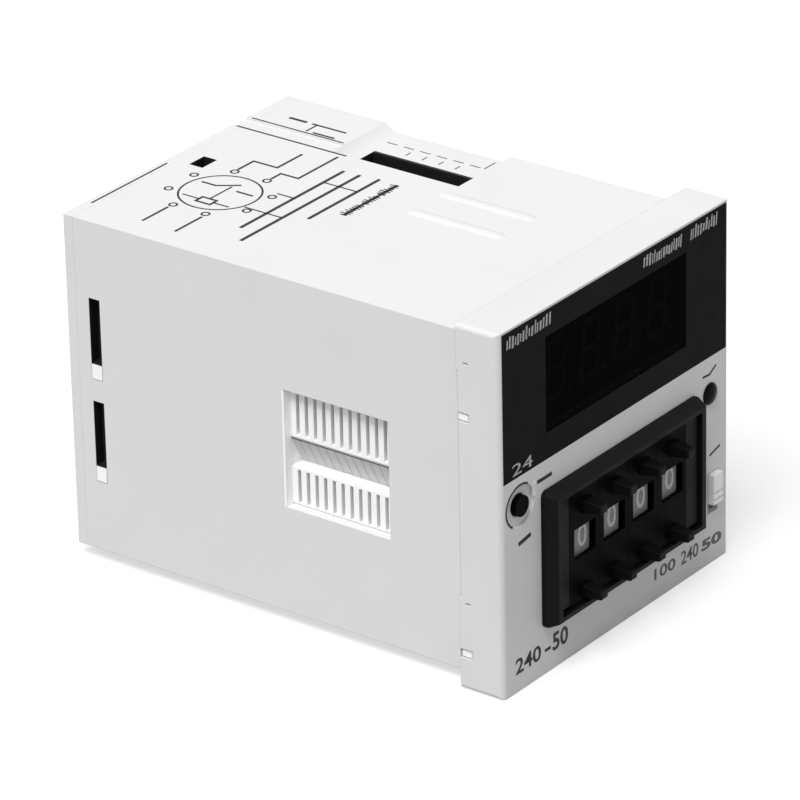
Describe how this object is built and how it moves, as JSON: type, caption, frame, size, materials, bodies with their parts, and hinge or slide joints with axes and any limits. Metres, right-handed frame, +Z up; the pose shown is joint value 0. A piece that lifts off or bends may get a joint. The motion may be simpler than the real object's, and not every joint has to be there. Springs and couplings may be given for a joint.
{
  "type": "digital timer",
  "caption": "Panel-mount digital timer in a square case: dark display window, thumbwheel setting switches, reset button, slide lock and a round pin plug at the back.",
  "frame": {"origin": "centre of the circle of plug pins, on the outer face of the rear cover", "axes": "+X right across the front as seen by the person using it, +Y rearwards along the pins, +Z up"},
  "size_m": [0.048, 0.0843, 0.048],
  "materials": {
    "case_plastic": "light grey moulded plastic, fine matte grain",
    "front_plastic": "light grey moulded plastic, smooth matte",
    "grille_plastic": "white moulded plastic",
    "window_black": "black satin sheet",
    "filter_smoke": "dark smoked acrylic",
    "black_moulded": "black moulded plastic, matte",
    "segment_diffuser": "dark tinted light guides, unlit",
    "circuit_board": "green circuit board laminate",
    "bright_steel": "zinc-plated steel",
    "switch_black": "black switch body",
    "lens_dark": "dark lens, unlit",
    "lamp_clear": "clear lamp body",
    "white_moulded": "white moulded plastic",
    "black_frame": "black moulded plastic, fine grain",
    "wheel_plastic": "grey moulded wheel, plain digits",
    "button_black": "black moulded button, worn satin",
    "contact_laminate": "brown contact board laminate",
    "relay_plastic": "blue moulded relay case",
    "core_steel": "stacked core steel",
    "bobbin_plastic": "cream moulded bobbin",
    "winding_copper": "enamelled copper wire",
    "capacitor_sleeve": "dark blue sleeves",
    "pin_metal": "plated brass"
  },
  "bodies": {
    "timer_unit": {"case": "case_plastic", "front_bezel": "front_plastic", "rear_cover": "case_plastic", "vent_grille_left": "grille_plastic", "vent_grille_right": "grille_plastic", "window_panel": "window_black", "display_filter": "filter_smoke", "display_housing": "black_moulded", "digit_segments": "segment_diffuser", "display_board": "circuit_board", "board_screws": "bright_steel", "reset_switch": "switch_black", "indicator_lens": "lens_dark", "indicator_lamp": "lamp_clear", "lock_switch": "bright_steel", "thumbwheel_bezel": "black_frame", "end_plate_left": "black_frame", "end_plate_right": "black_frame", "wheel_spindle": "bright_steel", "tie_rods": "bright_steel", "wheel_housing_1": "black_moulded", "wheel_housing_2": "black_moulded", "wheel_housing_3": "black_moulded", "wheel_housing_4": "black_moulded", "contact_board_1": "contact_laminate", "contact_board_2": "contact_laminate", "contact_board_3": "contact_laminate", "contact_board_4": "contact_laminate", "thumbwheel_board": "circuit_board", "main_board": "circuit_board", "power_board": "circuit_board", "pin_board": "circuit_board", "board_headers": "black_moulded", "controller_chip": "switch_black", "relay": "relay_plastic", "transformer_core": "core_steel", "transformer_bobbin": "bobbin_plastic", "transformer_winding": "winding_copper", "filter_capacitors": "capacitor_sleeve", "plug_pins": "pin_metal", "range_switch": "switch_black"},
    "moving_reset_button": {"reset_button": "black_moulded"},
    "moving_lock_slider": {"lock_slider": "white_moulded"},
    "moving_digit_wheel_1": {"digit_wheel_1": "wheel_plastic"},
    "moving_digit_wheel_2": {"digit_wheel_2": "wheel_plastic"},
    "moving_digit_wheel_3": {"digit_wheel_3": "wheel_plastic"},
    "moving_digit_wheel_4": {"digit_wheel_4": "wheel_plastic"},
    "moving_plus_button_1": {"plus_button_1": "button_black"},
    "moving_plus_button_2": {"plus_button_2": "button_black"},
    "moving_plus_button_3": {"plus_button_3": "button_black"},
    "moving_plus_button_4": {"plus_button_4": "button_black"},
    "moving_minus_button_1": {"minus_button_1": "button_black"},
    "moving_minus_button_2": {"minus_button_2": "button_black"},
    "moving_minus_button_3": {"minus_button_3": "button_black"},
    "moving_minus_button_4": {"minus_button_4": "button_black"},
    "moving_range_lever_1": {"range_lever_1": "button_black"},
    "moving_range_lever_2": {"range_lever_2": "button_black"},
    "moving_range_lever_3": {"range_lever_3": "button_black"},
    "moving_range_lever_4": {"range_lever_4": "button_black"}
  },
  "joints": [
    {"name": "reset_button_slide", "type": "slide", "parent": "timer_unit", "child": "moving_reset_button", "axis": [0, 1, 0], "range_m": [0, 0.0005], "stiffness_N_per_m": 1500},
    {"name": "lock_slider_slide", "type": "slide", "parent": "timer_unit", "child": "moving_lock_slider", "axis": [0, 0, -1], "range_m": [0, 0.0014]},
    {"name": "digit_wheel_1_turn", "type": "hinge", "parent": "timer_unit", "child": "moving_digit_wheel_1", "pos_m": [-0.00923, -0.06059, -0.00815], "axis": [1, 0, 0], "continuous": true},
    {"name": "digit_wheel_2_turn", "type": "hinge", "parent": "timer_unit", "child": "moving_digit_wheel_2", "pos_m": [-0.00308, -0.06059, -0.00815], "axis": [1, 0, 0], "continuous": true},
    {"name": "digit_wheel_3_turn", "type": "hinge", "parent": "timer_unit", "child": "moving_digit_wheel_3", "pos_m": [0.00308, -0.06059, -0.00815], "axis": [1, 0, 0], "continuous": true},
    {"name": "digit_wheel_4_turn", "type": "hinge", "parent": "timer_unit", "child": "moving_digit_wheel_4", "pos_m": [0.00923, -0.06059, -0.00815], "axis": [1, 0, 0], "continuous": true},
    {"name": "plus_button_1_slide", "type": "slide", "parent": "timer_unit", "child": "moving_plus_button_1", "axis": [0, 1, 0], "range_m": [0, 0.001], "stiffness_N_per_m": 800},
    {"name": "plus_button_2_slide", "type": "slide", "parent": "timer_unit", "child": "moving_plus_button_2", "axis": [0, 1, 0], "range_m": [0, 0.001], "stiffness_N_per_m": 800},
    {"name": "plus_button_3_slide", "type": "slide", "parent": "timer_unit", "child": "moving_plus_button_3", "axis": [0, 1, 0], "range_m": [0, 0.001], "stiffness_N_per_m": 800},
    {"name": "plus_button_4_slide", "type": "slide", "parent": "timer_unit", "child": "moving_plus_button_4", "axis": [0, 1, 0], "range_m": [0, 0.001], "stiffness_N_per_m": 800},
    {"name": "minus_button_1_slide", "type": "slide", "parent": "timer_unit", "child": "moving_minus_button_1", "axis": [0, 1, 0], "range_m": [0, 0.001], "stiffness_N_per_m": 800},
    {"name": "minus_button_2_slide", "type": "slide", "parent": "timer_unit", "child": "moving_minus_button_2", "axis": [0, 1, 0], "range_m": [0, 0.001], "stiffness_N_per_m": 800},
    {"name": "minus_button_3_slide", "type": "slide", "parent": "timer_unit", "child": "moving_minus_button_3", "axis": [0, 1, 0], "range_m": [0, 0.001], "stiffness_N_per_m": 800},
    {"name": "minus_button_4_slide", "type": "slide", "parent": "timer_unit", "child": "moving_minus_button_4", "axis": [0, 1, 0], "range_m": [0, 0.001], "stiffness_N_per_m": 800},
    {"name": "range_lever_1_slide", "type": "slide", "parent": "timer_unit", "child": "moving_range_lever_1", "axis": [1, 0, 0], "range_m": [0, 0.0015]},
    {"name": "range_lever_2_slide", "type": "slide", "parent": "timer_unit", "child": "moving_range_lever_2", "axis": [1, 0, 0], "range_m": [0, 0.0015]},
    {"name": "range_lever_3_slide", "type": "slide", "parent": "timer_unit", "child": "moving_range_lever_3", "axis": [1, 0, 0], "range_m": [0, 0.0015]},
    {"name": "range_lever_4_slide", "type": "slide", "parent": "timer_unit", "child": "moving_range_lever_4", "axis": [1, 0, 0], "range_m": [0, 0.0015]}
  ]
}
